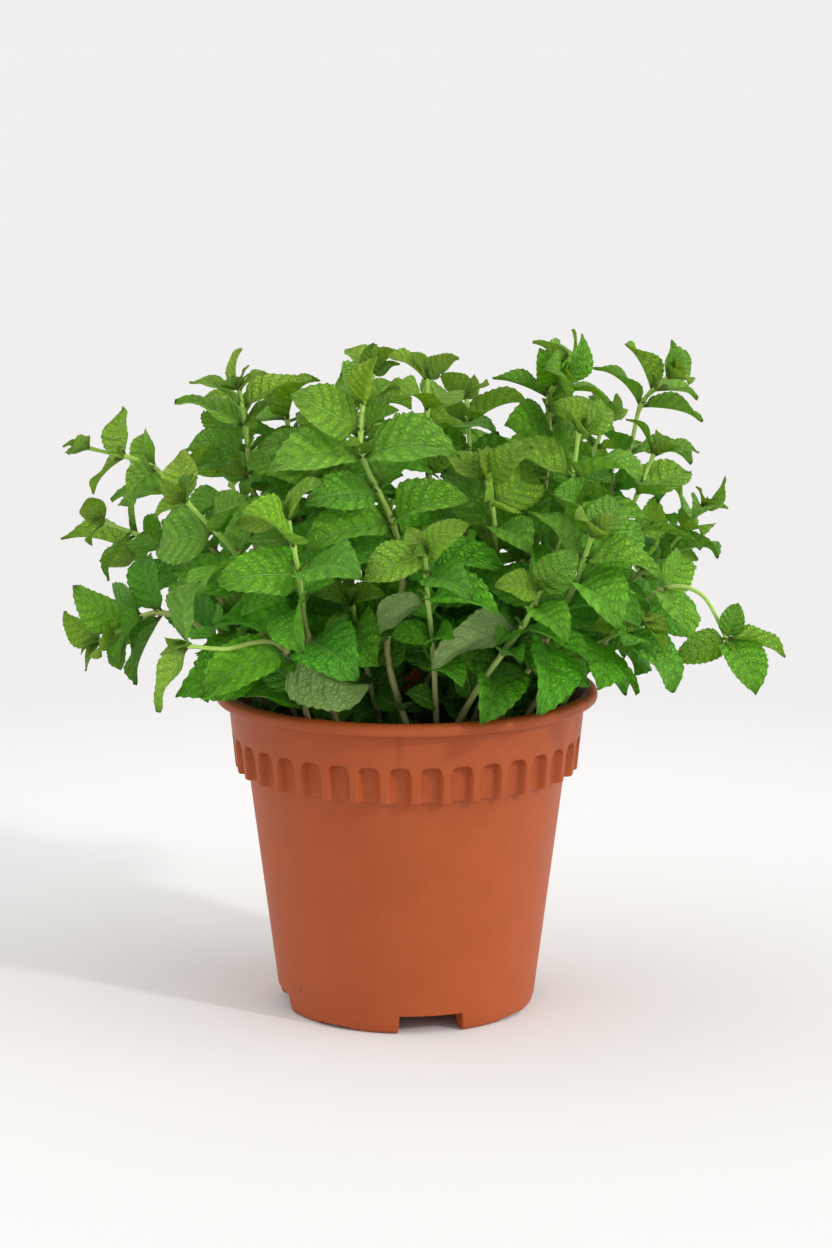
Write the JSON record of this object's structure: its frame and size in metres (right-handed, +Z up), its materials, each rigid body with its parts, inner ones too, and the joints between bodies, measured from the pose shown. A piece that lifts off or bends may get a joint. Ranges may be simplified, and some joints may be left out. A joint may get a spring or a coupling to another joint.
{
  "type": "potted mint plant",
  "caption": "Bushy mint plant with toothed green leaves on square stems, growing in a tapered terracotta-coloured plastic nursery pot with a fluted collar.",
  "frame": {"origin": "on the pot's axis, at the level of the foot that it stands on, which is the bottom centre of the whole plant's box", "axes": "+Z up along the pot's axis; the plant's front is -Y; the foliage is widest along X and narrowest along Y"},
  "size_m": [0.285, 0.2205, 0.268],
  "materials": {
    "pot": "satin",
    "soil": "matte",
    "stem": "satin",
    "leaf": "satin"
  },
  "bodies": {
    "root": {"pot": "pot", "soil": "soil", "stem_01": "stem", "stem_02": "stem", "stem_03": "stem", "stem_04": "stem", "stem_05": "stem", "stem_06": "stem", "stem_07": "stem", "stem_08": "stem", "stem_09": "stem", "stem_10": "stem", "stem_11": "stem", "stem_12": "stem", "stem_13": "stem", "stem_14": "stem", "stem_15": "stem", "stem_16": "stem", "stem_17": "stem", "stem_18": "stem", "stem_19": "stem", "stem_20": "stem", "stem_21": "stem", "stem_22": "stem", "stem_23": "stem", "stem_24": "stem", "stem_25": "stem", "stem_26": "stem", "stem_27": "stem", "stem_28": "stem", "stem_29": "stem", "stem_30": "stem", "stem_31": "stem", "stem_32": "stem", "stem_33": "stem", "stem_34": "stem", "stem_35": "stem", "stem_36": "stem", "leaf_01": "leaf", "leaf_02": "leaf", "leaf_03": "leaf", "leaf_04": "leaf", "leaf_05": "leaf", "leaf_06": "leaf", "leaf_07": "leaf", "leaf_08": "leaf", "leaf_09": "leaf", "leaf_10": "leaf", "leaf_11": "leaf", "leaf_12": "leaf", "leaf_13": "leaf", "leaf_14": "leaf", "leaf_15": "leaf", "leaf_16": "leaf", "leaf_17": "leaf", "leaf_18": "leaf", "leaf_19": "leaf", "leaf_20": "leaf", "leaf_21": "leaf", "leaf_22": "leaf"}
  },
  "joints": []
}
